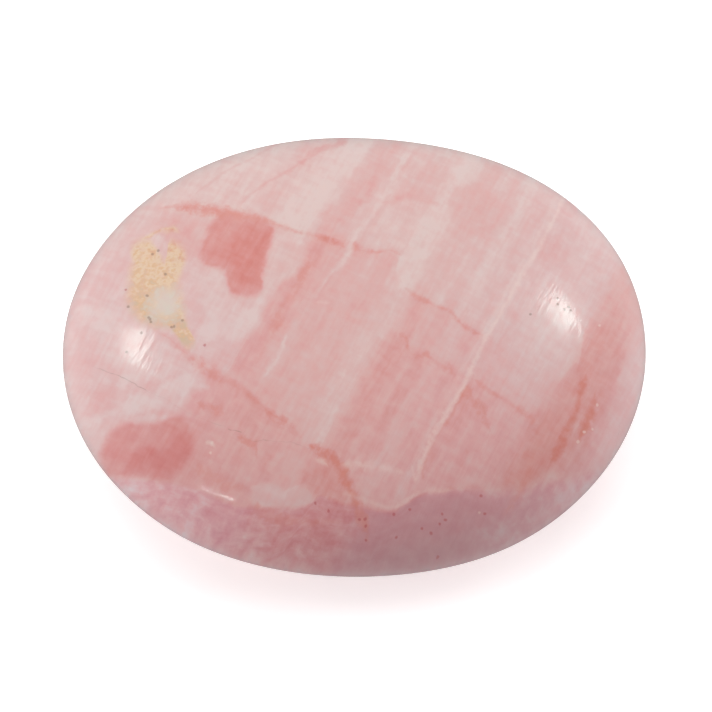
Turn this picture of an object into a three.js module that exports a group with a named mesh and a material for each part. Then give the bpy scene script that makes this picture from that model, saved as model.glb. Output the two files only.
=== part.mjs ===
// An oval palm stone of pink opal, ground and polished from one piece of rough.
// Both faces are domed and meet in a rounded rim, and the underside has a small flat spot that it rests on.
// Millimetres. +X runs along the stone, +Y across it and +Z up.
// The origin is under the middle of the outline, in the plane of the flat spot.
import * as THREE from "three";

// Driving sizes of the stone.
const LENGTH = 64;
const WIDTH = 49.3;
const CROWN_HEIGHT = 12.7; // from the widest level of the rim up to the top
const UNDERSIDE_DEPTH = 12.6; // from that level down to where the underside would end, if not ground flat
const FLAT_SPOT_CUT = 0.4; // how much of the underside the flat spot takes off
const DOME_EXPONENT = 2.2; // of the cross-section: 2 is an ellipse, and more makes a fuller rim

// A hand-ground outline isn't a true ellipse. Each swell has this many lobes round the stone,
// stands proud by this share of the radius, and has this phase in degrees.
const OUTLINE_SWELLS = [
  { lobes: 3, share: 0.002, phase: 55 },
  { lobes: 4, share: 0.008, phase: 155 },
  { lobes: 5, share: 0.002, phase: 160 },
];

// The widest level rises and falls a little on the way round, and the top leans towards one end.
const RIM_WANDER = 0.45;
const RIM_WANDER_PHASE = 40; // degrees
const CROWN_LEAN = 0.7;

// Fineness of the surface.
const SEGMENTS_AROUND = 96;
const RINGS_TO_TOP = 40;

const RIM_LEVEL = UNDERSIDE_DEPTH - FLAT_SPOT_CUT;
const radians = THREE.MathUtils.degToRad;

// Share of the full radius and of the full height at an angle of the dome's superellipse.
function domeShares(angle) {
  const power = 2 / DOME_EXPONENT;
  return {
    radius: Math.cos(angle) ** power,
    height: Math.sign(angle) * Math.abs(Math.sin(angle)) ** power,
  };
}

// The angle at which the underside meets the plane of the flat spot.
const FLAT_SPOT_ANGLE = -Math.asin((RIM_LEVEL / UNDERSIDE_DEPTH) ** (DOME_EXPONENT / 2));
const FLAT_SPOT_RADIUS = domeShares(FLAT_SPOT_ANGLE).radius;

// Half of the cross-section, from the middle of the flat spot round the rim to the top.
// Its radii are shares of the outline's, and its heights are millimetres.
function crossSection() {
  const points = [new THREE.Vector2(0, 0), new THREE.Vector2(FLAT_SPOT_RADIUS, 0)];
  for (let ring = 1; ring < RINGS_TO_TOP; ring++) {
    const angle = THREE.MathUtils.lerp(FLAT_SPOT_ANGLE, Math.PI / 2, ring / RINGS_TO_TOP);
    const { radius, height } = domeShares(angle);
    const reach = angle > 0 ? CROWN_HEIGHT : UNDERSIDE_DEPTH;
    points.push(new THREE.Vector2(radius, RIM_LEVEL + height * reach));
  }
  points.push(new THREE.Vector2(0, RIM_LEVEL + CROWN_HEIGHT));
  return points;
}

// Radius of the outline in a direction, in millimetres: an ellipse, with the swells on it.
function outlineRadius(direction) {
  const ellipse = 1 / Math.hypot(Math.cos(direction) / (LENGTH / 2), Math.sin(direction) / (WIDTH / 2));
  return OUTLINE_SWELLS.reduce(
    (radius, { lobes, share, phase }) => radius * (1 + share * Math.cos(lobes * direction - radians(phase))),
    ellipse,
  );
}

// Carries the turned profile out to the outline, and adds the rim's wander and the crown's lean.
// Both are nothing at the flat spot, so that it stays flat.
function shapeToOutline(geometry) {
  const position = geometry.getAttribute("position");
  for (let i = 0; i < position.count; i++) {
    const share = Math.hypot(position.getX(i), position.getY(i));
    const direction = Math.atan2(position.getY(i), position.getX(i));
    const radius = share * outlineRadius(direction);
    const outwards = Math.max(0, (share - FLAT_SPOT_RADIUS) / (1 - FLAT_SPOT_RADIUS));
    const upwards = Math.max(0, (position.getZ(i) - RIM_LEVEL) / CROWN_HEIGHT);
    const wander = RIM_WANDER * outwards ** 3 * Math.cos(2 * direction - radians(RIM_WANDER_PHASE));
    const lean = CROWN_LEAN * upwards ** 2;
    const x = radius * Math.cos(direction) + lean;
    const y = radius * Math.sin(direction);
    position.setXYZ(i, x, y, position.getZ(i) + wander);
  }
  return geometry;
}

// Brings the outline to its length and width, with its middle over the origin.
function fitInPlan(geometry) {
  geometry.computeBoundingBox();
  const middle = geometry.boundingBox.getCenter(new THREE.Vector3());
  const size = geometry.boundingBox.getSize(new THREE.Vector3());
  return geometry.translate(-middle.x, -middle.y, 0).scale(LENGTH / size.x, WIDTH / size.y, 1);
}

function opal() {
  const turned = new THREE.LatheGeometry(crossSection(), SEGMENTS_AROUND).rotateX(Math.PI / 2);
  const geometry = fitInPlan(shapeToOutline(turned));
  geometry.computeVertexNormals();
  // Pink common opal, polished to a waxy gloss.
  const material = new THREE.MeshStandardMaterial({ color: 0xdfb0ab, roughness: 0.25, metalness: 0 });
  const mesh = new THREE.Mesh(geometry, material);
  mesh.name = "opal";
  return mesh;
}

const palmStone = new THREE.Group();
palmStone.add(opal());

export default palmStone;
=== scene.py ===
"""A polished palm stone of banded pink opal on a pale table, in soft studio light.

The file is laid out as an add-on. Its tab in the 3D view's sidebar has one button for the stone and one for the studio.
Blender's own units are metres. A name that ends in MM, and every pattern inside the stone, is in millimetres.
"""
import math

import bpy
import numpy as np
from bpy.props import FloatProperty, FloatVectorProperty, IntProperty, PointerProperty
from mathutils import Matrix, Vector


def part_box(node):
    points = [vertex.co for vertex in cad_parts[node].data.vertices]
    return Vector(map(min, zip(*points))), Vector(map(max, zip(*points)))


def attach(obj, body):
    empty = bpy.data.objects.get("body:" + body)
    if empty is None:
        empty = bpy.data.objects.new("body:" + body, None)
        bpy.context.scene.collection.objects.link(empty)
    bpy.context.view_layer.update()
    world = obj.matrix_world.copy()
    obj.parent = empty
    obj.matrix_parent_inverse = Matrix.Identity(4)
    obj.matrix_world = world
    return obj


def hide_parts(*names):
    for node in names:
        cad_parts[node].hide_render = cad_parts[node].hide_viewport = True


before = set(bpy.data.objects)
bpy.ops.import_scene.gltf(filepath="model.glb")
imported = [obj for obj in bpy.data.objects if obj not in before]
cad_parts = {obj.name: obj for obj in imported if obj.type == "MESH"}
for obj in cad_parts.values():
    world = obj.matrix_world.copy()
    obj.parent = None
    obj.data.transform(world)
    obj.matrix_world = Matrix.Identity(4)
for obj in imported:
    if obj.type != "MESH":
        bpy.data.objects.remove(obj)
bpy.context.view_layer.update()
STONE_LOW, STONE_HIGH = (np.array(corner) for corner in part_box("opal"))

bl_info = {
    "name": "Opal palm stone",
    "version": (1, 0, 0),
    "blender": (4, 5, 0),
    "location": "3D View > Sidebar > Opal",
    "description": "Makes a polished palm stone of banded pink opal and the studio it lies in",
    "category": "Add Mesh",
}

MM = 0.001  # one millimetre in metres

# The cross-section, in millimetres: heights of the two domes from the widest level, and the flat spot ground off below.
CROWN_MM = 12.7
UNDERSIDE_MM = 12.6
FLAT_CUT_MM = 0.4
DOME_EXPONENT = 2.2
FLAT_BLEND_MM = 0.08

# The outline's slight swells: lobes round the stone, share of the radius, and phase in degrees.
OUTLINE_SWELLS = ((3, 0.002, 55), (4, 0.008, 155), (5, 0.002, 160))
RIM_WANDER_MM = 0.45
RIM_WANDER_PHASE = 40
CROWN_LEAN_MM = 0.7

# The shallow hollow that holds the ochre skin, as place in plan, reach and depth.
HOLLOW_PLACE_MM = (-21.3, 4.5)
HOLLOW_REACH_MM = 3.5
HOLLOW_DEPTH_MM = 0.08


def linear(hex_colour):
    """Turns an sRGB hex colour into linear red, green and blue."""
    channels = (int(hex_colour[i:i + 2], 16) / 255 for i in (1, 3, 5))
    return tuple(c / 12.92 if c <= 0.04045 else ((c + 0.055) / 1.055) ** 2.4 for c in channels)


class StoneSettings(bpy.types.PropertyGroup):
    """Sizes and fineness of the stone."""

    length: FloatProperty(
        name="Length",
        description="Longest size of the stone, along X",
        default=float(STONE_HIGH[0] - STONE_LOW[0]),
        unit="LENGTH",
    )
    width: FloatProperty(
        name="Width",
        description="Size of the stone across, along Y",
        default=float(STONE_HIGH[1] - STONE_LOW[1]),
        unit="LENGTH",
    )
    cells: IntProperty(
        name="Cells",
        description="Cells along each side of the square sheet that is wrapped over a dome",
        default=216,
        min=16,
        max=220,
    )
    undulation: FloatProperty(
        name="Undulation",
        description="How deep the shallow waves of the hand polish are",
        default=0.05 * MM,
        unit="LENGTH",
    )


class OpalColours(bpy.types.PropertyGroup):
    """Colours of the opal."""

    pale: FloatVectorProperty(
        name="Pale",
        description="Palest pink of the bands",
        subtype="COLOR",
        default=linear("#d7c0bb"),
        min=0,
        max=1,
    )
    light_pink: FloatVectorProperty(
        name="Light pink",
        description="Pink between the pale bands",
        subtype="COLOR",
        default=linear("#d4b1ad"),
        min=0,
        max=1,
    )
    salmon: FloatVectorProperty(
        name="Salmon",
        description="Pink under the first break",
        subtype="COLOR",
        default=linear("#d4a5a1"),
        min=0,
        max=1,
    )
    deep: FloatVectorProperty(
        name="Deep pink",
        description="Pink of the salmon ground",
        subtype="COLOR",
        default=linear("#d19792"),
        min=0,
        max=1,
    )
    red: FloatVectorProperty(
        name="Red",
        description="Red of the patches",
        subtype="COLOR",
        default=linear("#ce8882"),
        min=0,
        max=1,
    )
    dark_red: FloatVectorProperty(
        name="Dark red",
        description="Deepest red of the patches",
        subtype="COLOR",
        default=linear("#ca7b75"),
        min=0,
        max=1,
    )
    lavender: FloatVectorProperty(
        name="Lavender",
        description="Palest tone of the cool parts",
        subtype="COLOR",
        default=linear("#d8c0c2"),
        min=0,
        max=1,
    )
    mauve: FloatVectorProperty(
        name="Mauve",
        description="Cool pink of the lower edge",
        subtype="COLOR",
        default=linear("#d5a3a6"),
        min=0,
        max=1,
    )
    deep_mauve: FloatVectorProperty(
        name="Deep mauve",
        description="Deepest cool pink",
        subtype="COLOR",
        default=linear("#c8838a"),
        min=0,
        max=1,
    )
    grey_mauve: FloatVectorProperty(
        name="Grey mauve",
        description="Duller mauve low on the right",
        subtype="COLOR",
        default=linear("#bd8f92"),
        min=0,
        max=1,
    )
    rust: FloatVectorProperty(
        name="Rust",
        description="Orange-red heart of the veins",
        subtype="COLOR",
        default=linear("#d18878"),
        min=0,
        max=1,
    )
    cream: FloatVectorProperty(
        name="Cream",
        description="White of the long vein and the wisps",
        subtype="COLOR",
        default=linear("#dfc9c2"),
        min=0,
        max=1,
    )
    orange_stain: FloatVectorProperty(
        name="Orange stain",
        description="Iron stain at the top of the ochre patch",
        subtype="COLOR",
        default=linear("#d09a86"),
        min=0,
        max=1,
    )
    ochre: FloatVectorProperty(
        name="Ochre",
        description="Yellow of the ochre patch",
        subtype="COLOR",
        default=linear("#d5b090"),
        min=0,
        max=1,
    )
    pale_ochre: FloatVectorProperty(
        name="Pale ochre",
        description="Paler specks of the ochre patch",
        subtype="COLOR",
        default=linear("#dac2a8"),
        min=0,
        max=1,
    )
    whitish: FloatVectorProperty(
        name="Whitish",
        description="Chalky middle of the ochre patch",
        subtype="COLOR",
        default=linear("#d2c6bc"),
        min=0,
        max=1,
    )
    olive: FloatVectorProperty(
        name="Olive",
        description="Foot of the ochre patch",
        subtype="COLOR",
        default=linear("#cbb198"),
        min=0,
        max=1,
    )
    blood_red: FloatVectorProperty(
        name="Blood red",
        description="Smallest red specks",
        subtype="COLOR",
        default=linear("#b5565a"),
        min=0,
        max=1,
    )
    dirt: FloatVectorProperty(
        name="Dirt",
        description="Dark grey of the crack and the pores",
        subtype="COLOR",
        default=linear("#8f7266"),
        min=0,
        max=1,
    )


class StudioSettings(bpy.types.PropertyGroup):
    """Camera angle and brightness of the studio."""

    elevation: FloatProperty(
        name="Camera elevation",
        description="Angle at which the camera looks down on the stone",
        default=math.radians(75),
        subtype="ANGLE",
    )
    lens: FloatProperty(
        name="Lens",
        description="Focal length on a 36 mm sensor",
        default=230,
        subtype="DISTANCE_CAMERA",
    )
    table: FloatVectorProperty(
        name="Table",
        description="Colour of the pale table",
        subtype="COLOR",
        default=linear("#f7f6f6"),
        min=0,
        max=1,
    )
    table_glow: FloatProperty(
        name="Table glow",
        description="Brightness of the light that comes up through the table",
        default=0.4,
        min=0,
    )
    tube_white: FloatVectorProperty(
        name="Tube white",
        description="Colour of the lit windows that the gloss mirrors, whose tubes have a green cast",
        subtype="COLOR",
        default=linear("#e6fff8"),
        min=0,
        max=1,
    )
    room_light: FloatProperty(
        name="Room light",
        description="Brightness of the white room",
        default=0.12,
        min=0,
    )
    low_light: FloatProperty(
        name="Low light",
        description="Brightness of the room below the level of the table",
        default=0.37,
        min=0,
    )


# Shape of the stone

def outline_radius(direction, length, width):
    """Radius of the outline in a direction: that of an ellipse, times one plus each swell's cosine."""
    radius = 1 / np.hypot(np.cos(direction) / (length / 2), np.sin(direction) / (width / 2))
    for lobes, share, phase in OUTLINE_SWELLS:
        radius = radius * (1 + share * np.cos(lobes * direction - math.radians(phase)))
    return radius


def round_sheet(cells):
    """A square grid drawn out to a disc, which leaves no pole in the middle.

    For u and v from -1 to 1, x is u times the root of 1 - v²/2 and y is v times the root of 1 - u²/2.
    Returns the distance from the middle, from 0 to 1, and the direction.
    """
    u, v = np.meshgrid(np.linspace(-1, 1, cells + 1), np.linspace(-1, 1, cells + 1))
    x = u * np.sqrt(1 - v**2 / 2)
    y = v * np.sqrt(1 - u**2 / 2)
    return np.hypot(x, y), np.arctan2(y, x)


def dome_shares(distance, depth_mm, mean_radius_mm):
    """Shares of the full radius and height of a dome, evenly spaced along its cross-section.

    The cross-section is a superellipse. At a ring angle, the radius is its cosine and the height its sine,
    both to the power of two over the exponent. Distance runs from 0 at the middle to 1 at the rim.
    """
    angle = np.linspace(math.pi / 2, 0, 2000)
    power = 2 / DOME_EXPONENT
    radius = np.clip(np.cos(angle), 0, 1) ** power
    height = np.sin(angle) ** power
    steps = np.hypot(np.diff(radius) * mean_radius_mm, np.diff(height) * depth_mm)
    run = np.concatenate([[0], np.cumsum(steps)])
    at = distance * run[-1]
    return np.interp(at, run, radius), np.interp(at, run, height)


def waves(points, wavelength, count, seed):
    """Soft waves through space: the mean of plane sine waves in seeded random directions."""
    rng = np.random.default_rng(seed)
    total = np.zeros(points.shape[:-1])
    for _ in range(count):
        direction = rng.normal(size=3)
        direction *= rng.uniform(0.7, 1.4) * 2 * math.pi / (wavelength * np.linalg.norm(direction))
        total += np.sin(points @ direction + rng.uniform(0, 2 * math.pi))
    return total / math.sqrt(count)


def stone_points(side, stone):
    """Points of one face of the stone, in metres. The side is 1 for the crown and -1 for the underside.

    Each dome is carried out to the outline. The underside ends in the flat spot, by a smooth maximum.
    The rim's wander grows with the cube of the distance out from the flat spot, and the crown's lean with
    the square of the height.
    """
    length, width = stone.length / MM, stone.width / MM
    rim_level = UNDERSIDE_MM - FLAT_CUT_MM
    reach = CROWN_MM if side > 0 else UNDERSIDE_MM
    distance, direction = round_sheet(stone.cells)
    share, rise = dome_shares(distance, reach, (length + width) / 4)
    height = rim_level + side * rise * reach
    if side < 0:
        height = (height + np.sqrt(height**2 + FLAT_BLEND_MM**2)) / 2
        height -= height.min()
    flat_share = (1 - (rim_level / UNDERSIDE_MM) ** DOME_EXPONENT) ** (1 / DOME_EXPONENT)
    outwards = np.clip((share - flat_share) / (1 - flat_share), 0, 1)
    upwards = np.clip((height - rim_level) / CROWN_MM, 0, 1)
    radius = share * outline_radius(direction, length, width)
    x = radius * np.cos(direction) + CROWN_LEAN_MM * upwards**2
    y = radius * np.sin(direction)
    z = height + RIM_WANDER_MM * outwards**3 * np.cos(2 * direction - math.radians(RIM_WANDER_PHASE))
    points = np.stack([x, y, z], axis=-1)
    # The direction out of an ellipsoid of the same size is near enough to press the surface in along.
    out = (points - [0, 0, rim_level]) / np.array([length, width, 2 * reach]) ** 2
    out /= np.linalg.norm(out, axis=-1, keepdims=True) + 1e-9
    depth = stone.undulation / MM * (waves(points, 14, 9, 3) + 1) / 2
    depth *= np.clip(z / 2, 0, 1)
    if side > 0:
        away = np.hypot(x - HOLLOW_PLACE_MM[0], y - HOLLOW_PLACE_MM[1]) / HOLLOW_REACH_MM
        depth += HOLLOW_DEPTH_MM * np.exp(-(away**2))
    return (points - out * depth[..., None]) * MM


def stone_mesh(stone):
    """One closed mesh: two wrapped sheets that share the vertices along the rim."""
    crown = stone_points(1, stone)
    underside = stone_points(-1, stone)
    rows, columns = crown.shape[:2]
    upper = np.arange(rows * columns).reshape(rows, columns)
    inner = (rows - 2) * (columns - 2)
    lower = upper.copy()
    lower[1:-1, 1:-1] = rows * columns + np.arange(inner).reshape(rows - 2, columns - 2)
    points = np.concatenate([crown.reshape(-1, 3), underside[1:-1, 1:-1].reshape(-1, 3)])
    low, high = points.min(axis=0), points.max(axis=0)
    points = STONE_LOW + (points - low) * (STONE_HIGH - STONE_LOW) / (high - low)

    def quads(index):
        corners = (index[:-1, :-1], index[:-1, 1:], index[1:, 1:], index[1:, :-1])
        return np.stack(corners, axis=-1).reshape(-1, 4)

    faces = np.concatenate([quads(upper), quads(lower)[:, ::-1]])
    mesh = bpy.data.meshes.new("opal_stone")
    mesh.from_pydata(points.tolist(), [], faces.tolist())
    mesh.update()
    mesh.shade_smooth()
    return mesh


# The pattern inside the stone
#
# Places in it are in millimetres in the frame of the bands: first across them, then along them.

BAND_NORMAL = (0.876, -0.466, -0.12)  # points straight across the bands
BAND_RUN = (0.466, 0.876, 0.0)  # points along them, over the crown

# How red the stone is across its bands: 0 is the palest and 1 the reddest. Places are to the half millimetre.
BAND_TONES = (
    (-30, 0.1), (-21, 0.1), (-16.5, 0.2), (-15, 0.05), (-13, 0.0), (-11.5, 0.2), (-9.5, 0.35), (-7.5, 0.2),
    (-6.5, 0.25), (-5.5, 0.15), (-3, 0.2), (-1.5, 0.05), (0, 0.05), (2, 0.3), (4, 0.2), (5, 0.3), (6.5, 0.1),
    (8.5, 0.25), (10, 0.15), (11.5, 0.25), (14.5, 0.15), (18.5, 0.2), (21.5, 0.45), (25, 0.3), (28, 0.15),
)

# Boundaries that cut across the bands. Each step makes all that lies below its line redder or paler by an amount.
STEPS = (
    # below the first break the pink deepens
    (0.18, 1.2, ((-30, -40), (-12.6, -20), (-11.9, 5.6), (-10, 6.9), (-7, 7.9), (-5, 8.3), (-2.6, 9.3), (-1.6, 6.9),
                 (0, 6), (5, 6), (10, 6), (14, 5.2), (19, 5.6), (20.5, 9), (24, 9), (30, 9))),
    # below the second, right of the wide pale band, it deepens again
    (0.1, 1.0, ((-30, -40), (-0.5, -40), (0.6, 1.2), (5, 0.9), (10, 0.9), (15, 1), (19, 1.4), (30, 2))),
)

# Patches of another tone: how red, how strongly, softness of the edge in mm, middle, and outline.
PATCHES = (
    # pale lavender ground at the left end, under the first red vein
    (0.2, 0.9, 1.8, (-20, -8), (
        (-32, 2), (-26, 3.5), (-20, 5), (-14.5, 6), (-12.5, 5.5), (-12, 0), (-12.5, -6), (-14.5, -10), (-15, -13),
        (-14, -16), (-16, -18.5), (-20, -21.5), (-24, -24), (-30, -20), (-34, -8))),
    # its swirls: pink, salmon and white
    (0.36, 0.75, 1.8, (-22.8, -18.6), ((-24.6, -18.4), (-23, -17), (-21.4, -17.6), (-21.4, -19.4), (-23.4, -20.4))),
    (0.3, 0.7, 2.0, (-26.4, -15.6), ((-28.6, -15), (-26, -13.6), (-24.6, -15), (-25, -17), (-27.4, -17.6))),
    (0.0, 0.75, 1.6, (-27.5, -19), ((-30, -18.5), (-27, -17.8), (-26, -19), (-28, -21))),
    (0.0, 0.75, 1.6, (-27, -11), ((-30, -11), (-27, -9.5), (-25.5, -11), (-27, -12.5))),
    (0.0, 0.75, 1.6, (-16, -13.8), ((-18.5, -14), (-16.5, -12.2), (-14.8, -12.6), (-14.4, -14.4), (-16.5, -15.4))),
    (0.02, 0.7, 1.4, (-19.5, -17.4), ((-21.4, -18), (-19, -16), (-17.5, -16.4), (-18.5, -18), (-20.5, -19))),
    # salmon ground under the second red vein
    (0.58, 0.8, 1.6, (-5, -17), (
        (-14.5, -15.5), (-14.5, -12), (-10.5, -11.5), (-4, -13), (2, -14), (6.5, -16.5), (2, -18.6), (-1, -21),
        (-5, -23.4), (-10, -24.4), (-12.6, -22), (-12.5, -19))),
    # warm salmon ground right of the long cream vein
    (0.6, 0.55, 2.5, (14.5, -5), (
        (10.9, -1), (15, -1.6), (18.8, -5.4), (17.4, -7.8), (15, -9.4), (12, -11), (10.7, -9), (10.7, -5))),
    # red right-hand end
    (0.68, 0.8, 2.4, (22.8, 1.5), (
        (20.4, 3), (21, 6), (20, 9), (20.4, 14), (22.4, 14), (25, 8), (26, 3), (25.4, -2), (22.4, -5.5), (20, -7.5),
        (19.6, -3))),
    (0.76, 0.7, 2.0, (21, -3.6), ((19.6, 0), (22.4, 0), (23.2, -2.4), (22.2, -5), (20.8, -7.4), (19.6, -6.6), (19.2, -3))),
    # upper red patch, pinker in its upper middle and deepest at its right
    (0.86, 0.95, 1.1, (-17.6, 2), (
        (-21.6, 4.6), (-18.5, 6), (-16, 6.1), (-15.6, 3.6), (-14.2, 0.2), (-13.9, -2), (-16, -3), (-18.5, -0.9),
        (-21, -0.9), (-21.7, 2))),
    (0.72, 0.7, 2.2, (-18.8, 3.4), ((-20.4, 3.6), (-19, 5.2), (-17.5, 4.6), (-17.6, 2.4), (-19.6, 1.6))),
    (0.98, 0.75, 1.8, (-15.9, 0.8), ((-17.2, 5), (-16, 5.2), (-15, 2), (-14.6, 0), (-16, -1.8), (-17.6, -0.4))),
    # lower red patch, with a pinker hollow in it and deepest low on the right
    (0.86, 0.95, 1.3, (-16, -21), (
        (-20.6, -22), (-19.8, -20), (-17, -18.9), (-14, -17), (-12.4, -18.2), (-11.4, -20.6), (-12.4, -22.6),
        (-16, -24.3), (-19.5, -24.6))),
    (0.72, 0.7, 1.8, (-17, -21), ((-19.2, -21.6), (-18, -20.2), (-14.6, -19.4), (-15, -21), (-17.6, -22.2))),
    (1.1, 0.75, 1.8, (-13.4, -21.2), ((-17, -22.6), (-14.4, -20.6), (-13, -18.4), (-12, -19.4), (-11.8, -21.4), (-14, -23))),
    # pale block and white bar in the salmon ground
    (0.42, 0.7, 0.9, (-1.8, -16.6), ((-3.3, -15.6), (-0.4, -15.3), (-0.3, -17.8), (-3, -18))),
    (0.26, 0.8, 0.8, (-1, -19.3), ((-4.2, -20), (-3.6, -19.6), (-1, -18.8), (2, -17.3), (2.4, -18), (-0.6, -19.9), (-3.6, -21.2))),
    # deep red ground between them
    (0.82, 0.55, 1.5, (2.4, -16), ((0, -15.2), (3, -14.7), (4.9, -15.6), (3.4, -17), (0, -16.8))),
    # lavender-white flecks in the pale ground
    (0.0, 0.8, 0.9, (-16.3, -7.9), ((-16.8, -7), (-15.9, -6.8), (-15.8, -8.6), (-16.6, -8.9))),
    (0.0, 0.7, 1.6, (-13.2, -5.4), ((-13.9, -4), (-12.7, -3.4), (-12.5, -6), (-13.4, -7.4))),
    (0.05, 0.6, 2.0, (-17.8, -4.6), ((-20, -2), (-17, -4), (-15.6, -6.2), (-18, -5.6))),
    # pink cloud above the ochre patch
    (0.5, 0.8, 2.2, (-24, 0.8), ((-26.6, 2), (-24, 3.4), (-22.4, 1.6), (-22.8, -1.4), (-24.6, -0.6))),
    # peach blocks between the pale bands
    (0.32, 0.65, 1.5, (-4, 18), ((-6.2, 15.5), (-2, 16.5), (-1.8, 21), (-6.4, 21.5))),
    (0.42, 0.65, 1.4, (2.6, 17.6), ((1.2, 21), (1.5, 15.4), (3.8, 15.4), (3.8, 21))),
    (0.44, 0.6, 1.3, (12, 17.6), ((10.9, 19.6), (11, 16.6), (13.8, 17), (12.6, 19.8))),
    # grounds at the right
    (0.26, 0.6, 2.7, (15.6, 4.4), ((11.6, 6), (15, 7.4), (18.6, 7), (19, 4), (18.2, 2), (14, 1.8), (11.6, 2.4))),
    (0.3, 0.75, 1.4, (24.8, -4.6), ((22.6, -4.4), (25, -2.6), (27, -2.6), (26, -5.4), (23, -6.2))),
)

# Streaks that run across the bands: how red, how strongly, softness of the edge in mm, and points of
# place across the bands, place along them, and half width.
CROSS_STREAKS = (
    # first red vein, orange-red where it is strongest
    (0.7, 0.8, 1.0, ((-28.5, 2.6, 0), (-26.5, 3.8, 0.7), (-24, 4.6, 1.1), (-21.5, 5.1, 1.1), (-18, 6, 0.8), (-15.5, 6.3, 0.6),
                     (-13, 6.5, 0.5), (-11.2, 6.9, 0.6), (-10.4, 7.1, 0.9), (-8.6, 7.3, 0.9), (-7.7, 7.2, 0))),
    (0.9, 0.8, 0.7, ((-10.6, 7.1, 0), (-9.8, 7.2, 0.6), (-8.8, 7.3, 0.6), (-8.2, 7.3, 0))),
    (0.7, 0.68, 0.8, ((-7.4, 7.6, 0), (-7, 7.8, 0.8), (-6.4, 7.7, 0.7), (-5, 8.1, 0.5), (-2.6, 9.3, 0.4), (-2, 9.3, 0))),
    # fine red vein that carries on beyond the wide pale band
    (0.68, 0.7, 0.6, ((-0.4, 6.2, 0), (0.4, 6.1, 0.36), (1.5, 5.95, 0.62), (2.6, 5.9, 0.62), (3.2, 5.9, 0.34),
                       (4.2, 6, 0.46), (5, 6.1, 0.42), (6.4, 5.7, 0.42), (8, 5.4, 0.52), (9.4, 5.5, 0.34), (10, 5.6, 0))),
    # spotted one below it
    (0.84, 0.6, 0.8, ((1.6, 1.3, 0), (2.4, 1.3, 0.77), (3.2, 0.4, 0.62), (4, 0.1, 0.47), (4.9, 0.4, 0.62), (5.4, 0.7, 0.82),
                       (6, 0.6, 0.4), (7.2, 0.5, 0.47), (8, 0.5, 0.72), (8.7, 0.3, 0.67), (9.2, 0.2, 0.32), (9.6, 0, 0))),
    (0.86, 0.65, 0.9, ((10.5, -1, 0), (10.8, -0.8, 1.12), (11.4, -0.8, 1.02), (11.9, -1.2, 0.72), (12.6, -1.3, 0.92),
                      (13.4, -1.5, 1.02), (14.4, -2.4, 0.62), (15.4, -3, 0.32), (16, -3.4, 0))),
    (0.72, 0.59, 0.64, ((11, 0.9, 0), (12, 0.7, 0.62), (13.4, 0.5, 0.62), (15, 0.6, 0.42), (17.8, 0.5, 0.72), (19.4, 0.3, 0))),
    # second red vein, widest at its right-hand end
    (0.72, 0.68, 1.12, ((-23, -9.7, 0), (-20.6, -10, 0.57), (-17.4, -10.8, 0.67), (-15, -11.3, 1.02), (-12.6, -11.6, 0.92),
                      (-10.4, -11.7, 0.72), (-8.6, -12.1, 0.72), (-7.2, -12.4, 0.62), (-5.6, -12.8, 0.77),
                      (-4, -12.8, 0.82), (-2.6, -13.2, 0.42), (-1.8, -13.4, 0))),
    (0.92, 0.8, 0.9, ((-10, -11.9, 0), (-8.8, -12, 0.7), (-7.4, -12.3, 0.4), (-5.8, -12.7, 0.7), (-4, -12.8, 0.7), (-3, -13.2, 0))),
    (1.05, 0.9, 0.9, ((-1.4, -13.5, 0), (-0.4, -13.6, 0.7), (1.2, -13.6, 1), (2.6, -13.9, 0.8), (3.6, -14.4, 1.1),
                      (4.6, -15, 0.8), (6, -16, 0.9), (7.4, -17, 1.1), (8.4, -17.6, 1), (9.4, -18.6, 0.5), (10, -19, 0))),
    # salmon bed under the crack
    (0.84, 0.59, 0.64, ((-14, -15, 0), (-13, -14.9, 0.72), (-11.4, -14.8, 0.72), (-10.2, -15.2, 0))),
    (0.84, 0.68, 0.48, ((-8.4, -16.3, 0), (-7.4, -16.2, 0.52), (-6.2, -16.2, 0.56), (-5.4, -16.9, 0.42), (-5, -17.4, 0))),
    (0.86, 0.59, 0.96, ((-3.6, -21.6, 0), (-2, -21.6, 0.92), (0, -21.4, 1.02), (2, -20.8, 0.82), (4.6, -19.4, 0.62), (6.6, -18.2, 0))),
    (0.8, 0.51, 0.96, ((-11, -20, 0), (-9.6, -20.9, 0.92), (-7.6, -21, 0.92), (-5.2, -20.6, 0.72), (-4.4, -20.2, 0))),
    # swirls of the pale ground at the left end
    (0.42, 0.7, 1.5, ((-29, -19.6, 0), (-25, -18.6, 1.12), (-22, -17.4, 1.32), (-19, -15.4, 1.32), (-17, -13.2, 1.02), (-15, -11.8, 0))),
    (0.4, 0.6, 1.3, ((-29, -15.8, 0), (-26, -15.6, 0.92), (-23, -15.4, 0.82), (-20, -13.8, 0.82), (-18, -12, 0.62), (-17, -11, 0))),
    (0, 0.68, 1.12, ((-27, -22.6, 0), (-23, -21, 1.02), (-20.6, -18.8, 1.02), (-18.6, -17.2, 1.02), (-16, -16, 0.72), (-14.4, -15.4, 0))),
    (0, 0.68, 1.44, ((-18, -15.4, 0), (-16.8, -14.6, 1.12), (-15, -13.6, 1.42), (-13.6, -13, 0.82), (-12.8, -12.8, 0))),
    (0.02, 0.59, 1.44, ((-28, -13.8, 0), (-24, -14.2, 0.92), (-21.4, -14.2, 1.12), (-19, -12.4, 0.92), (-17, -11.6, 0))),
    (0.42, 0.59, 0.8, ((-20, -19.6, 0), (-18, -18.2, 0.62), (-16, -17.2, 0.82), (-14.4, -16.6, 0.72), (-13, -16.2, 0))),
    # salmon wisp between two pale bands at the top
    (0.45, 0.65, 1.2, ((-7, 13.6, 0), (-6, 14.4, 0.9), (-4.6, 15.8, 1.1), (-3, 16.5, 1.1), (-1.6, 16.6, 0.8), (-1, 16.6, 0))),
)

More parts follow.
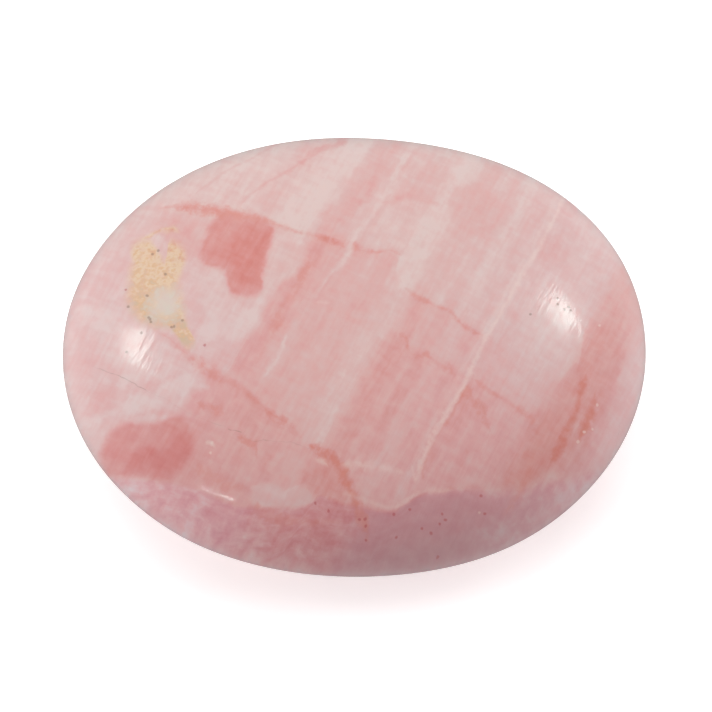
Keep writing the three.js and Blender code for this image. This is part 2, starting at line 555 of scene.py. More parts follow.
# Streaks that run along the bands, with points of place along them, place across them, and half width.
LONG_STREAKS = (
    # pale lines that cut through the breaks
    (0.02, 0.81, 0.48, ((20, -7, 0.6), (16, -6.75, 0.56), (13, -7, 0.5), (10, -7.35, 0.54), (8.6, -7.6, 0.6), (7, -7.2, 0.5),
                      (5, -7.5, 0.5), (3.4, -7.9, 0.34), (1, -8, 0.3), (0.4, -8, 0))),
    (0.04, 0.81, 0.48, ((-4, -8.9, 0), (-5, -8.7, 0.4), (-7, -8.4, 0.5), (-9, -8.6, 0.4), (-9.8, -8.8, 0))),
    (0.08, 0.54, 0.8, ((-4.6, -0.6, 0), (-6.4, -0.7, 0.7), (-8.6, -0.6, 0.7), (-10.6, -0.9, 0.4), (-12, -1.2, 0))),
    (0.2, 0.54, 1.28, ((2, -1.2, 0), (-2, -1.3, 1), (-7, -1.6, 1.2), (-11, -1.8, 1), (-13, -2, 0))),
    # salmon streak left of the first pale line
    (0.66, 0.65, 1.2, ((6, -9.6, 0), (4.4, -9.9, 0.7), (2.8, -10.4, 1), (0.6, -10.2, 0.9), (-2, -10.6, 0.7), (-3.6, -10.2, 1.2),
                      (-5.4, -10.2, 0.6), (-9, -10.2, 0.5), (-10, -10.2, 0))),
    (0.5, 0.7, 1.6, ((17, -8.8, 0), (15, -9, 1.4), (12, -9.4, 1.4), (9.6, -9.8, 1), (8.4, -10, 0))),
    # salmon veins above the first red vein
    (0.56, 0.81, 0.64, ((19, -14, 0.8), (17.6, -15.2, 0.9), (16, -16, 0.7), (14.6, -16.6, 0.56), (13.2, -17.2, 0.5),
                      (12.5, -17.7, 0.6), (11.2, -18.4, 0.38), (10, -19.1, 0.38), (9, -19.5, 0.36), (8, -19.9, 0.46),
                      (7, -20.1, 0.3), (6.2, -20.2, 0))),
    (0.4, 0.72, 0.56, ((16, -20.3, 0.5), (12.6, -21.9, 0.4), (10.2, -23.4, 0.44), (8, -24.3, 0.4), (6.4, -25, 0.3), (5.6, -25.2, 0))),
    (0.4, 0.54, 0.64, ((8.6, -21.2, 0), (7.6, -21.6, 0.45), (6.4, -21.9, 0.4), (5.8, -22, 0))),
    (0.45, 0.45, 0.96, ((11.8, -10.6, 0), (11, -10.9, 0.6), (10, -11.4, 0.8), (9.2, -11.8, 0.5), (8.6, -12, 0))),
    (0.5, 0.54, 1.12, ((15, -8.8, 0), (13.6, -8.4, 0.9), (12.2, -9.2, 0.7), (11, -9.2, 0.3), (10, -9.2, 0))),
    # red streaks of the right-hand end
    (1.15, 0.9, 1.0, ((8, 21.6, 0), (6.4, 21.8, 0.9), (5, 22.2, 0.7), (3, 22.5, 0.7), (1, 22.6, 0.8), (-1, 22.7, 0.9), (-2.6, 22.7, 0))),
    (1.1, 0.85, 1.0, ((7.4, 23.2, 0), (5, 23.8, 0.8), (4, 24, 1), (2, 24.2, 0.7), (0.6, 24.2, 0))),
    (0.76, 0.6, 1.2, ((1, 19.6, 0), (-3, 20.6, 0.8), (-6, 21.2, 1), (-8.6, 21.2, 0.8), (-10, 21, 0))),
    # the red edge of the long cream vein
    (0.78, 0.65, 0.6, ((1.4, 10.75, 0), (0.6, 10.9, 0.4), (-3, 10.75, 0.4), (-6, 10.6, 0.32), (-9, 10.7, 0.4), (-10.6, 11.2, 0.5), (-11, 11.4, 0))),
)

# The break below which the stone is mauve, as place across the bands and place along them.
MAUVE_EDGE = (
    (-30, -27), (-20, -25.2), (-14, -23.8), (-9, -22.6), (-5, -22.4), (-3, -21.6), (-0.8, -20.6), (2, -18.9),
    (2.6, -17.4), (5, -17), (7, -16.3), (10, -15.2), (11, -14), (12, -12.2), (14, -10.8), (16, -9.3), (18, -8.2),
    (20, -7), (22, -5.7), (23, -4.2), (25, -2.6), (27.5, 0.6), (30, 4),
)

# How red the mauve is, and how grey, across the bands.
MAUVE_TONES = (
    (-24, 0.35), (-16, 0.4), (-8, 0.55), (-4, 0.75), (2, 0.95), (8, 1), (14, 0.85), (18, 0.75), (22, 0.5), (28, 0.4))
MAUVE_GREYS = ((-8, 0), (0, 0.1), (6, 0.3), (9, 0.6), (15, 0.8), (19, 0.7), (22, 0.5), (26, 0.3))

# Cream-white veins and wisps, along the bands and across them: how strongly, softness of the edge, and points.
CREAM_LONG_STREAKS = (
    # the long vein
    (0.56, 0.45, ((20, 10.5, 0.4), (17, 10.4, 0.46), (14, 10.3, 0.5), (12, 10.25, 0.5), (9, 10.2, 0.4), (6, 10.1, 0.46),
                 (4, 10.2, 0.42), (2, 10.25, 0.46), (0, 10.4, 0.44), (-2, 10.35, 0.48), (-4, 10.2, 0.48), (-6, 10.15, 0.5),
                 (-8, 10.25, 0.5), (-9.3, 10.3, 0.48), (-10, 10.5, 0.5), (-11, 10.75, 0.44), (-11.4, 10.9, 0))),
    # soft pale line along its left side
    (0.22, 0.7, ((19, 9.8, 0.5), (12, 9.6, 0.5), (4, 9.5, 0.5), (-4, 9.5, 0.6), (-9, 9.6, 0.5), (-10.4, 9.8, 0))),
)
CREAM_CROSS_STREAKS = (
    # the fine wisps at its foot
    (0.5, 0.6, ((9.4, -10.2, 0), (9.8, -10.5, 0.4), (10.6, -11.2, 0.4), (11, -11.5, 0))),
    (0.45, 0.8, ((6.4, -12.1, 0), (7.2, -11.9, 0.7), (8.6, -11.5, 0.6), (9.6, -11.4, 0))),
    (0.5, 0.9, ((2.8, -14, 0), (4, -13.1, 0.8), (5.4, -12.6, 0.8), (6.8, -12.3, 0))),
    # white line along the mauve break
    (0.4, 0.7, ((4.4, -16.2, 0), (5.2, -16, 0.5), (6.6, -15.7, 0.4), (8.4, -15.3, 0.5), (10, -14.8, 0.4), (10.8, -13.8, 0.8),
                (11.4, -12.8, 0.7), (12.2, -11.8, 0.5), (13.6, -11, 0.5), (15.4, -10, 0))),
    (0.12, 0.6, ((14.6, -10.2, 0), (17.5, -8.6, 0.4), (20, -7, 0.4), (22, -5.7, 0.4), (23, -4.6, 0))),
    # dashes in the pale bands and in the deep red
    (0.35, 0.5, ((-8, 0.1, 0), (-7, 0.6, 0.45), (-6, 1, 0))),
    (0.6, 0.4, ((-11, -18.4, 0), (-10.4, -18.1, 0.4), (-9.2, -18.4, 0))),
    (0.55, 0.6, ((0.2, -14.6, 0), (1.2, -14.4, 0.55), (2.2, -14.8, 0))),
)

# The fine dark crack, where it is open and where it has healed to a trace.
CRACKS = (
    (0.75, 0.2, ((-26, -15.9, 0), (-25, -15.9, 0.07), (-22.3, -15.85, 0.1), (-19.8, -15.95, 0.1), (-18.6, -16, 0.04), (-18, -16, 0))),
    (0.35, 0.25, ((-18.4, -16, 0), (-18, -16, 0.08), (-14, -16.3, 0.07), (-10.5, -16.1, 0.09), (-9.4, -15.9, 0.04), (-9.2, -15.9, 0))),
    (0.75, 0.2, ((-9.5, -15.95, 0), (-9.2, -15.9, 0.1), (-8.2, -15.7, 0.1), (-7.8, -15.7, 0))),
    (0.45, 0.25, ((-8, -15.8, 0), (-6.5, -15.9, 0.08), (-5.5, -15.3, 0.12), (-4.5, -15, 0.08), (-3, -14.3, 0.1),
                  (-1.5, -14, 0.08), (-0.8, -13.9, 0.08), (-0.4, -13.8, 0))),
    (0.6, 0.25, ((27.2, 5.9, 0), (27.5, 5.5, 0.09), (28.4, 3.7, 0.09), (28.7, 3.2, 0))),
)

# The patch of ochre-stained skin that the polish hasn't cleared, as its middle and outline, and the hook at its top.
OCHRE_MIDDLE = (-23, -6)
OCHRE_OUTLINE = (
    (-27.6, -1.2), (-27.2, -4), (-26.4, -6.2), (-25, -8.6), (-23, -9.5), (-20.8, -9.1), (-18.8, -9.8), (-17.2, -9.8),
    (-18.6, -8.2), (-20, -6.4), (-21.8, -4.6), (-24.2, -2.6), (-25, -0.3),
)
OCHRE_HOOK = ((-28, -1.6, 0), (-27.2, -0.6, 0.8), (-26, 0.9, 0.8), (-25, 1.2, 0.7), (-24.2, 1.2, 0))

# Open pores, dark with dirt, and white specks.
PORES = (
    (-25.9, -2.3), (-25.5, -1.7), (-23.5, -3.95), (-24.1, -6.8), (-22.8, -8.9), (-22.4, -9.2), (-22.6, -9),
    (-20.1, -8.9), (-19.9, -8.7), (-19.4, -7.8), (-25.3, -8.6), (-22.7, -10.6), (-23, -13.2), (15.2, 12.9),
    (16.1, 12.8), (16.4, 13.3), (16.8, 13.1), (14.9, 13.5), (13.1, 10.3),
)
RED_SPECKS = (
    (7.6, -17.5), (8.1, -17.2), (8.5, -17.7), (9.3, -18.8), (17.8, -9.1), (18.6, -10.6), (19.2, -10.4), (15, -12.8),
    (15.6, -13.1), (15.3, -13.7), (11.8, -14.1), (10.5, -15.3), (13.9, -15), (15, -14.9), (16.9, -16.3),
    (12, -17), (-26.5, -7), (-16, -9.2), (2.5, -18.4), (4.2, -18.4),
)
WHITE_SPECKS = ((24.2, 5.7), (24.2, 1.2), (24.3, 2.4), (25, 3.2), (-10.2, -18), (-9.8, -19), (18.6, -10.6), (20.4, 13.4))


# Materials

def add(tree, kind, inputs=(), points=(), stops=(), **settings):
    """Adds a shader node, sets its properties, fills its inputs and returns its first output.

    Inputs are values or other nodes' outputs, in the order of the node's inputs in use, or in a dictionary
    by name. None leaves an input as it is. Points are those of a curve, and stops the places and colours of a ramp.
    """
    node = tree.nodes.new("ShaderNode" + kind)
    for name, value in settings.items():
        setattr(node, name, value)
    if points:
        line = node.mapping.curves[0]
        line.points[0].location, line.points[1].location = points[0], points[-1]
        for place in points[1:-1]:
            line.points.new(*place)
        for point in line.points:
            point.handle_type = "AUTO_CLAMPED"
        node.mapping.update()
    if stops:
        elements = node.color_ramp.elements
        while len(elements) < len(stops):
            elements.new(1)
        for element, (place, colour) in zip(elements, stops):
            element.position, element.color = place, (*colour, 1)
    if isinstance(inputs, dict):
        filled = [(node.inputs[name], value) for name, value in inputs.items()]
    else:
        filled = zip((socket for socket in node.inputs if socket.enabled), inputs)
    for socket, value in filled:
        if isinstance(value, bpy.types.NodeSocket):
            tree.links.new(value, socket)
        elif value is not None:
            socket.default_value = value
    return next((socket for socket in node.outputs if socket.enabled), None)


def profile(tree, value, points):
    """A smooth line through points of place and height, level beyond its ends."""
    places, heights = zip(*sorted(points))
    low, high = min(heights), max(heights)
    rise = (high - low) or 1
    length = places[-1] - places[0]
    share = add(tree, "MapRange", (value, places[0], places[-1], 0.0, 1.0))
    scaled = [((place - places[0]) / length, (height - low) / rise) for place, height in zip(places, heights)]
    line = add(tree, "FloatCurve", (1.0, share), points=scaled)
    return add(tree, "Math", (line, rise, low), operation="MULTIPLY_ADD")


def streak(tree, run, off, ragged, feather, points):
    """How far a spot is inside a streak: 0 past its edge, up to 1 a feather's width inside it.

    Run is the spot's place along the streak and off its place to the side. Points are of run, off and half width.
    """
    middle = profile(tree, run, [(at, side) for at, side, _ in points])
    reach = profile(tree, run, [(at, half) for at, _, half in points])
    reach = add(tree, "Math", (reach, ragged), operation="MULTIPLY")
    away = add(tree, "Math", (add(tree, "Math", (off, middle), operation="SUBTRACT"),), operation="ABSOLUTE")
    inside = add(tree, "Math", (reach, away), operation="SUBTRACT")
    return add(tree, "MapRange", (inside, 0.0, feather, 0.0, 1.0), interpolation_type="SMOOTHSTEP")


def patch(tree, across, along, ragged, feather, middle, outline):
    """How far a spot is inside a patch: from 0 to 1 over a feather's width. The outline goes round the middle."""
    aside = add(tree, "Math", (across, middle[0]), operation="SUBTRACT")
    ahead = add(tree, "Math", (along, middle[1]), operation="SUBTRACT")
    turn = add(tree, "Math", (ahead, aside), operation="ARCTAN2")
    away = add(tree, "VectorMath", (add(tree, "CombineXYZ", (aside, ahead, 0.0)),), operation="LENGTH")
    away = away.node.outputs["Value"]
    reaches = sorted(
        (math.atan2(y - middle[1], x - middle[0]), math.hypot(x - middle[0], y - middle[1])) for x, y in outline)
    first, last = reaches[0], reaches[-1]
    gap = first[0] + 2 * math.pi - last[0]
    seam = last[1] + (first[1] - last[1]) * (math.pi - last[0]) / gap
    reach = profile(tree, turn, [(-math.pi, seam), *reaches, (math.pi, seam)])
    reach = add(tree, "Math", (ragged, 0.35, reach), operation="MULTIPLY_ADD")
    inside = add(tree, "Math", (reach, away), operation="SUBTRACT")
    return add(tree, "MapRange", (inside, 0.35 - feather / 2, 0.35 + feather / 2, 0.0, 1.0), interpolation_type="SMOOTHSTEP")


def band_frame(tree):
    """Places across and along the bands in millimetres, and how far up a spot is from the middle level.

    They wander a little, as grown bands and healed cracks do. Under the rim the bands and veins slant,
    so the underside is no mirror image of the crown.
    """
    plain = add(tree, "TexCoord").node.outputs["Object"]
    plain = spot = add(tree, "VectorMath", (plain, 1 / MM), operation="SCALE")
    # Soft wander about 8 mm long, and fine jogs under a millimetre long.
    for length, reach, detail in ((7.0, 0.4, 1.0), (0.9, 0.36, 2.0)):
        noise = add(tree, "TexNoise", {"Vector": plain, "Scale": 1 / length, "Detail": detail}).node.outputs["Color"]
        noise = add(tree, "VectorMath", (noise, (0.5, 0.5, 0.5)), operation="SUBTRACT")
        spot = add(tree, "VectorMath", (noise, (reach, reach, reach), spot), operation="MULTIPLY_ADD")
    height = add(tree, "SeparateXYZ", (plain,)).node.outputs["Z"]
    under = add(tree, "Math", (12.0, height), operation="SUBTRACT")
    under = add(tree, "Math", (under, 0.0), operation="MAXIMUM")
    across = add(tree, "VectorMath", (spot, BAND_NORMAL), operation="DOT_PRODUCT").node.outputs["Value"]
    along = add(tree, "VectorMath", (spot, BAND_RUN), operation="DOT_PRODUCT").node.outputs["Value"]
    across = add(tree, "Math", (under, 0.8, across), operation="MULTIPLY_ADD")
    along = add(tree, "Math", (under, -0.45, along), operation="MULTIPLY_ADD")
    return across, along, under


def opal_material(colours):
    """Pink common opal, tumbled and buffed: waxy and a little translucent under a wet-looking polish."""
    material = bpy.data.materials.new("polished pink common opal")
    material.use_nodes = True
    tree = material.node_tree
    tree.nodes.clear()
    across, along, under = band_frame(tree)
    # The same frame without its wander: turned by 28 degrees and scaled to millimetres.
    lie_flat = add(tree, "TexCoord").node.outputs["Object"]
    lie_flat = add(tree, "Mapping", {
        "Vector": lie_flat, "Rotation": (0, 0, math.radians(28)), "Scale": (1 / MM, 1 / MM, 1 / MM)})
    lie = add(tree, "CombineXYZ", (across, along, under))
    # One noise about 0.8 mm long gives ragged edges and broken veins.
    blots = add(tree, "TexNoise", {"Vector": lie, "Scale": 1.2, "Detail": 3.0, "Roughness": 0.62})
    ragged, broken, clouds = add(tree, "SeparateXYZ", (blots.node.outputs["Color"],)).node.outputs
    ragged = add(tree, "MapRange", (ragged, 0.25, 0.75, 0.6, 1.4))
    broken = add(tree, "MapRange", (broken, 0.3, 0.6, 0.4, 1.0), interpolation_type="SMOOTHSTEP")

    # The bands, which fan out to the left.
    left = add(tree, "MapRange", (across, -6.0, -15.0, 0.0, 9.0))
    up = add(tree, "MapRange", (along, -5.0, 20.0, -16.0, 9.0))
    fan = add(tree, "Math", (left, up), operation="MULTIPLY")
    fanned = add(tree, "Math", (fan, -0.0227, across), operation="MULTIPLY_ADD")
    redness = profile(tree, fanned, BAND_TONES)
    for amount, feather, line in STEPS:
        depth = add(tree, "Math", (profile(tree, across, line), along), operation="SUBTRACT")
        below = add(tree, "MapRange", (depth, -feather / 2, feather / 2, 0.0, 1.0), interpolation_type="SMOOTHSTEP")
        redness = add(tree, "Math", (below, amount, redness), operation="MULTIPLY_ADD")
    plain = redness
    for level, strength, feather, middle, outline in PATCHES:
        share = patch(tree, across, along, ragged, feather, middle, outline)
        share = add(tree, "Math", (share, strength), operation="MULTIPLY")
        redness = add(tree, "Mix", (share, redness, level))
    # Under the mauve break the bands are weak. The break blurs towards the right.
    depth = add(tree, "Math", (profile(tree, across, MAUVE_EDGE), along), operation="SUBTRACT")
    depth = add(tree, "Math", (depth, profile(tree, across, ((10, 1), (16, 2), (21, 4)))), operation="DIVIDE")
    cool = add(tree, "MapRange", (depth, -0.3, 0.4, 0.0, 1.0), interpolation_type="SMOOTHSTEP")
    share = add(tree, "Math", (cool, 0.8), operation="MULTIPLY")
    redness = add(tree, "Mix", (share, redness, profile(tree, across, MAUVE_TONES)))
    rust = 0.0
    for run, off, streaks in ((across, along, CROSS_STREAKS), (along, across, LONG_STREAKS)):
        for level, strength, feather, line in streaks:
            share = streak(tree, run, off, ragged, feather, line)
            share = add(tree, "Math", (share, strength), operation="MULTIPLY")
            if level > 0.6:
                share = add(tree, "Math", (share, broken), operation="MULTIPLY")
            redness = add(tree, "Mix", (share, redness, level))
            if level > 0.65:
                rust = add(tree, "Math", (rust, share), operation="MAXIMUM")
    # The patches and veins end inside the stone, and the underside has others.
    blot = add(tree, "TexNoise", {"Vector": lie, "Scale": 0.11, "Detail": 3.0, "Distortion": 0.6})
    blot = add(tree, "MapRange", (blot, 0.58, 0.64, 0.0, 0.8), interpolation_type="SMOOTHSTEP")
    plain = add(tree, "Mix", (blot, plain, 0.85))
    deep = add(tree, "MapRange", (under, 2.5, 5.5, 0.0, 1.0), interpolation_type="SMOOTHSTEP")
    redness = add(tree, "Mix", (deep, redness, plain))

    # Broad streaks and fine ones along the bands, cross threads, and mottling that is stronger in the mauve.
    mottle = add(tree, "Math", (cool, 0.8, 0.5), operation="MULTIPLY_ADD")
    blotches = add(tree, "Math", (cool, 1.3), operation="MULTIPLY")
    for scale, detail, amount in (
        ((0.6, 0.1, 0.15), 2.0, 0.3), ((1.9, 0.22, 0.3), 3.0, 0.42), ((0.3, 1.4, 0.4), 3.0, 0.3), ((0.8, 0.8, 0.8), 5.0, mottle),
    ):
        grain = add(tree, "TexNoise", {
            "Vector": add(tree, "VectorMath", (lie, scale), operation="MULTIPLY"), "Scale": 1.0, "Detail": detail})
        grain = add(tree, "Math", (grain, 0.5), operation="SUBTRACT")
        redness = add(tree, "Math", (grain, amount, redness), operation="MULTIPLY_ADD")

    # The mauve flows along its break.
    flow = add(tree, "VectorMath", (add(tree, "CombineXYZ", (across, depth, 0.0)), (0.35, 1.1, 1.0)), operation="MULTIPLY")
    flow = add(tree, "TexNoise", {"Vector": flow, "Scale": 1.0, "Detail": 4.0, "Roughness": 0.6})
    flow = add(tree, "Math", (flow, 0.5), operation="SUBTRACT")
    redness = add(tree, "Math", (flow, blotches, redness), operation="MULTIPLY_ADD")

    share = add(tree, "MapRange", (redness, 0.0, 1.2, 0.0, 1.0))
    pink = add(tree, "ValToRGB", (share,), stops=(
        (0.0, colours.pale), (0.21, colours.light_pink), (0.42, colours.salmon), (0.63, colours.deep),
        (0.83, colours.red), (1.0, colours.dark_red)))
    mauve = add(tree, "ValToRGB", (share,), stops=(
        (0.0, colours.lavender), (0.42, colours.mauve), (1.0, colours.deep_mauve)))
    # Left of the long vein's foot the mauve is pinker.
    cool = add(tree, "Math", (cool, profile(tree, across, ((-4, 1), (0, 0.65), (4, 0.65), (9, 1)))), operation="MULTIPLY")
    # The right-hand half, the lower left and the front are a little cooler than the middle.
    right = profile(tree, across, ((-14, 0.1), (0, 0.1), (6, 0.2), (14, 0.35), (18, 0.35), (21, 0.1), (25, 0.4), (30, 0.7)))
    low = add(tree, "MapRange", (along, 2.0, -8.0, 0.0, 0.25))
    left = add(tree, "MapRange", (across, -8.0, -14.0, 0.0, 1.0))
    ends = add(tree, "Math", (low, left, right), operation="MULTIPLY_ADD")
    warm = add(tree, "MapRange", (redness, 0.6, 0.9, 1.0, 0.0))
    ends = add(tree, "Math", (ends, warm), operation="MULTIPLY")
    cool = add(tree, "Math", (cool, ends), operation="MAXIMUM")
    front = add(tree, "MapRange", (along, -15.0, -20.0, 0.0, 0.25))
    cool = add(tree, "Math", (cool, front), operation="MAXIMUM")
    grey = add(tree, "MapRange", (depth, -0.5, 0.8, 0.0, 0.8), interpolation_type="SMOOTHSTEP")
    grey = add(tree, "Math", (grey, profile(tree, across, MAUVE_GREYS)), operation="MULTIPLY")
    mauve = add(tree, "Mix", (grey, mauve, (*colours.grey_mauve, 1)), data_type="RGBA")
    colour = add(tree, "Mix", (cool, pink, mauve), data_type="RGBA")
    rust = add(tree, "Math", (rust, 0.5), operation="MULTIPLY")
    colour = add(tree, "Mix", (rust, colour, (*colours.rust, 1)), data_type="RGBA")

    top = add(tree, "Math", (1.0, deep), operation="SUBTRACT")
    for run, off, streaks in ((across, along, CREAM_CROSS_STREAKS), (along, across, CREAM_LONG_STREAKS)):
        for strength, feather, line in streaks:
            share = streak(tree, run, off, ragged, feather, line)
            share = add(tree, "Math", (share, strength), operation="MULTIPLY")
            share = add(tree, "Math", (share, broken), operation="MULTIPLY")
            share = add(tree, "Math", (share, top), operation="MULTIPLY")
            colour = add(tree, "Mix", (share, colour, (*colours.cream, 1)), data_type="RGBA")

    # Ochre: orange at its top, then yellow, whitish and olive down its length, in specks of iron stain.
    hook = streak(tree, across, along, ragged, 1.1, OCHRE_HOOK)
    ochre = patch(tree, across, along, ragged, 1.7, OCHRE_MIDDLE, OCHRE_OUTLINE)
    skin = add(tree, "Math", (ochre, top), operation="MULTIPLY")
    ochre = add(tree, "Math", (ochre, hook), operation="MAXIMUM")
    ochre = add(tree, "Math", (ochre, top), operation="MULTIPLY")
    worn = add(tree, "MapRange", (broken, 0.4, 1.0, 0.75, 1.0))
    ochre = add(tree, "Math", (ochre, worn), operation="MULTIPLY")
    stain = add(tree, "MapRange", (along, 1.5, -9.5, -0.35, 0.2))
    stain = add(tree, "Math", (clouds, 1.5, stain), operation="MULTIPLY_ADD")
    stain = add(tree, "ValToRGB", (stain,), stops=(
        (0.2, colours.orange_stain), (0.4, colours.ochre), (0.6, colours.pale_ochre), (0.8, colours.ochre),
        (1.0, colours.olive)))
    chalk = add(tree, "VectorMath", (lie, (-21.9, -6.9, 0.0)), operation="DISTANCE").node.outputs["Value"]
    chalk = add(tree, "Math", (clouds, -4.0, chalk), operation="MULTIPLY_ADD")
    chalk = add(tree, "MapRange", (chalk, 0.8, -1.4, 0.0, 0.9), interpolation_type="SMOOTHSTEP")
    stain = add(tree, "Mix", (chalk, stain, (*colours.whitish, 1)), data_type="RGBA")
    colour = add(tree, "Mix", (ochre, colour, stain), data_type="RGBA")

    # The crack and the open pores hold dirt.
    dirt = 0.0
    for strength, feather, line in CRACKS:
        share = streak(tree, across, along, ragged, feather, line)
        share = add(tree, "Math", (share, strength), operation="MULTIPLY")
        dirt = add(tree, "Math", (dirt, share), operation="MAXIMUM")
    spots = []
    for places in (PORES, RED_SPECKS, WHITE_SPECKS):
        nearest = 9.0
        flat = add(tree, "CombineXYZ", (across, along, 0.0))
        for place in places:
            away = add(tree, "VectorMath", (flat, (*place, 0.0)), operation="DISTANCE").node.outputs["Value"]
            nearest = add(tree, "Math", (nearest, away), operation="MINIMUM")
        spots.append(add(tree, "MapRange", (nearest, 0.22, 0.08, 0.0, 0.6), interpolation_type="SMOOTHSTEP"))
    dirt = add(tree, "Math", (dirt, spots[0]), operation="MAXIMUM")
    dirt = add(tree, "Math", (dirt, top), operation="MULTIPLY")
    colour = add(tree, "Mix", (dirt, colour, (*colours.dirt, 1)), data_type="RGBA")
    colour = add(tree, "Mix", (spots[1], colour, (*colours.blood_red, 1)), data_type="RGBA")
    colour = add(tree, "Mix", (spots[2], colour, (*colours.cream, 1)), data_type="RGBA")

    # The polish follows the bands' hardness: ridges about 0.4 mm apart and 3 mm long.
    ridges = add(tree, "Mapping", {"Vector": lie_flat, "Scale": (2.4, 0.35, 0.35)})
    relief = add(tree, "TexNoise", {"Vector": ridges, "Scale": 1.0, "Detail": 2.0})
    bump = add(tree, "Bump", {"Strength": 0.7, "Distance": 0.045 * MM, "Height": relief})
    roughness = add(tree, "Math", (skin, 0.2, 0.34), operation="MULTIPLY_ADD")

    shader = add(tree, "BsdfPrincipled", {
        "Base Color": colour,
        "Roughness": roughness,
        "Normal": bump,
        "Coat Normal": bump,
        "IOR": 1.45,
        "Specular IOR Level": 0.35,
        "Subsurface Weight": 0.35,
        "Subsurface Radius": (1.0, 0.45, 0.4),
        "Subsurface Scale": 1.0 * MM,
        "Coat Weight": 0.6,
        "Coat Roughness": 0.07,
        "Coat IOR": 1.45,
    })
    add(tree, "OutputMaterial", {"Surface": shader})
    return material


def table_material(studio):
    """Matt white acrylic over lamps, as a light table has: a plain pale surface that glows a little."""
    material = bpy.data.materials.new("matt white acrylic light table")
    material.use_nodes = True
    tree = material.node_tree
    tree.nodes.clear()
    shader = add(tree, "BsdfPrincipled", {
        "Base Color": (*studio.table, 1),
        "Roughness": 0.9,
        "Specular IOR Level": 0.2,
        "Emission Color": (1.0, 1.0, 1.0, 1.0),
        "Emission Strength": studio.table_glow,
    })
    add(tree, "OutputMaterial", {"Surface": shader})
    return material


# Studio

def softbox(name, azimuth, elevation, size, power, aim, distance=0.6, hot_edge=0.0, fades=False):
    """A rectangular light that faces a point. Azimuth is counted from +X towards +Y.

    The hot edge is how much more light the cloth gives along its upper edge than at its lower one, or the other
    way round where it is negative. A light that fades is brightest in its middle and dark at its edges.
    """
    data = bpy.data.lights.new(name, "AREA")
    data.shape = "RECTANGLE"
    data.size, data.size_y = size
    data.energy = power
    lamp = bpy.data.objects.new(name, data)
    a, e = math.radians(azimuth), math.radians(elevation)
    towards = Vector((math.cos(a) * math.cos(e), math.sin(a) * math.cos(e), math.sin(e)))
    lamp.location = aim + towards * distance
    lamp.rotation_euler = towards.to_track_quat("Z", "Y").to_euler()
    lamp.visible_camera = False
    bpy.context.collection.objects.link(lamp)
    data.use_nodes = True
    tree = data.node_tree
    tree.nodes.clear()
    place = add(tree, "TexCoord").node.outputs["UV"]
    strength = 1.0
    if hot_edge:
        up = add(tree, "SeparateXYZ", (place,)).node.outputs["Y"]
        cold, hot = (0.0, 1.0) if hot_edge > 0 else (1.0, 0.0)
        rise = add(tree, "MapRange", (up, cold, hot, 0.0, 1.0), interpolation_type="SMOOTHSTEP")
        strength = add(tree, "Math", (rise, abs(hot_edge), 1.0), operation="MULTIPLY_ADD")
    if fades:
        out = add(tree, "VectorMath", (place, (0.5, 0.5, 0.0)), operation="DISTANCE").node.outputs["Value"]
        strength = add(tree, "MapRange", (out, 0.5, 0.0, 0.0, 1.0), interpolation_type="SMOOTHERSTEP")
    add(tree, "OutputLight", {"Surface": add(tree, "Emission", {"Strength": strength})})
    return lamp


def room_light(studio):
    """A dim white room, brighter below the level of the table, where only the stone's gloss sees it."""
    world = bpy.data.worlds.new("white room")
    bpy.context.scene.world = world
    world.use_nodes = True
    tree = world.node_tree
    tree.nodes.clear()
    height = add(tree, "SeparateXYZ", (add(tree, "TexCoord").node.outputs["Generated"],)).node.outputs["Z"]
    strength = add(tree, "MapRange", (height, 0.15, -0.1, studio.room_light, studio.low_light))
    room = add(tree, "Background", {"Color": (1.0, 1.0, 1.0, 1.0), "Strength": strength})
    add(tree, "OutputWorld", {"Surface": room})


def table_top(studio):
    """A square table top at the height that the stone rests on."""
    reach = 3.0
    mesh = bpy.data.meshes.new("table_top")
    corners = [(-reach, -reach, 0), (reach, -reach, 0), (reach, reach, 0), (-reach, reach, 0)]
    mesh.from_pydata(corners, [], [(0, 1, 2, 3)])
    mesh.materials.append(table_material(studio))
    table = bpy.data.objects.new("table_top", mesh)
    # The polish shows the dark end of the room beyond the table, and not the table itself.
    table.visible_glossy = False
    bpy.context.collection.objects.link(table)


def camera(studio):
    """Looks down on the stone from the front."""
    distance = 0.5
    aim = Vector((0.19, -0.14, UNDERSIDE_MM - FLAT_CUT_MM)) * MM
    data = bpy.data.cameras.new("camera")
    data.lens = studio.lens
    data.sensor_width = 36
    data.clip_start, data.clip_end = 0.01, 10
    eye = bpy.data.objects.new("camera", data)
    back = Vector((0, -math.cos(studio.elevation), math.sin(studio.elevation)))
    eye.location = aim + back * distance
    eye.rotation_euler = back.to_track_quat("Z", "Y").to_euler()
    bpy.context.collection.objects.link(eye)
    bpy.context.scene.camera = eye


class OPAL_OT_make_stone(bpy.types.Operator):
    """Makes the polished opal in the space of its solid"""

    bl_idname = "opal.make_stone"
    bl_label = "Make the stone"

    def execute(self, context):
        scene = context.scene
        stone = bpy.data.objects.new("opal_stone", stone_mesh(scene.opal_stone))
        stone.data.materials.append(opal_material(scene.opal_colours))
        context.collection.objects.link(stone)
        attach(stone, "root")
        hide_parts("opal")
        return {"FINISHED"}


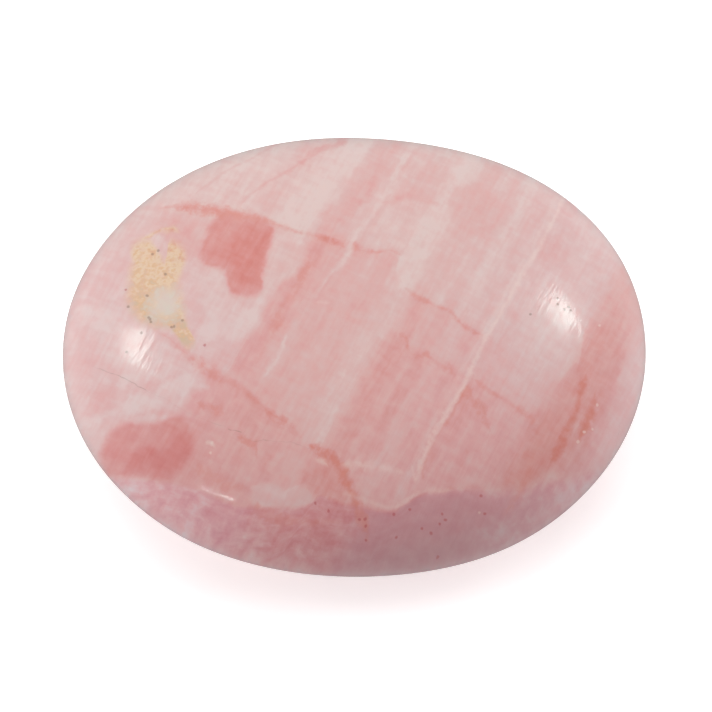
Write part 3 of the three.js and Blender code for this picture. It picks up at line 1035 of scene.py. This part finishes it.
class OPAL_OT_make_studio(bpy.types.Operator):
    """Makes the table, the lights and the camera"""

    bl_idname = "opal.make_studio"
    bl_label = "Make the studio"

    def execute(self, context):
        studio = context.scene.opal_studio
        middle = Vector((0, 0, UNDERSIDE_MM * MM))
        table_top(studio)
        room_light(studio)
        for name, azimuth, elevation, size, power in (
            ("left bank", 184, 28, (0.7, 0.5), 5.2),
            ("right bank", 19, 26, (0.7, 0.5), 4.5),
            ("top bank", 92, 72, (0.8, 0.6), 5),
        ):
            bank = softbox(name, azimuth, elevation, size, power, middle, distance=0.9)
            bank.visible_glossy = False
        for name, azimuth, elevation, size, power, options in (
            ("left window", 164, 41.4, (0.095, 0.11), 0.17, {"hot_edge": 2}),
            ("left glow", 165, 41.5, (0.26, 0.3), 0.36, {"fades": True}),
            ("right window", 27.2, 44.2, (0.1, 0.1), 0.24, {"hot_edge": -1.5}),
            ("right glow", 26, 44.3, (0.38, 0.36), 0.46, {"fades": True}),
            ("front strip", -123.5, 31.9, (0.01, 0.006), 0.09, {}),
        ):
            window = softbox(name, azimuth, elevation, size, power, middle, **options)
            window.visible_diffuse = False
            window.data.color = studio.tube_white
        camera(studio)
        context.scene.view_settings.view_transform = "Standard"
        return {"FINISHED"}


class OPAL_PT_sidebar(bpy.types.Panel):
    """Lists the settings and the two buttons"""

    bl_idname = "OPAL_PT_sidebar"
    bl_label = "Opal palm stone"
    bl_space_type = "VIEW_3D"
    bl_region_type = "UI"
    bl_category = "Opal"

    def draw(self, context):
        scene = context.scene
        for settings, operator in (
            ((scene.opal_stone, scene.opal_colours), OPAL_OT_make_stone),
            ((scene.opal_studio,), OPAL_OT_make_studio),
        ):
            box = self.layout.box()
            for group in settings:
                for name in group.__annotations__:
                    box.prop(group, name)
            box.operator(operator.bl_idname)


CLASSES = (
    StoneSettings,
    OpalColours,
    StudioSettings,
    OPAL_OT_make_stone,
    OPAL_OT_make_studio,
    OPAL_PT_sidebar,
)


def register():
    for cls in CLASSES:
        bpy.utils.register_class(cls)
    bpy.types.Scene.opal_stone = PointerProperty(type=StoneSettings)
    bpy.types.Scene.opal_colours = PointerProperty(type=OpalColours)
    bpy.types.Scene.opal_studio = PointerProperty(type=StudioSettings)


def unregister():
    del bpy.types.Scene.opal_studio
    del bpy.types.Scene.opal_colours
    del bpy.types.Scene.opal_stone
    for cls in reversed(CLASSES):
        bpy.utils.unregister_class(cls)


def main():
    register()
    bpy.ops.opal.make_stone()
    bpy.ops.opal.make_studio()


if __name__ == "__main__":
    main()
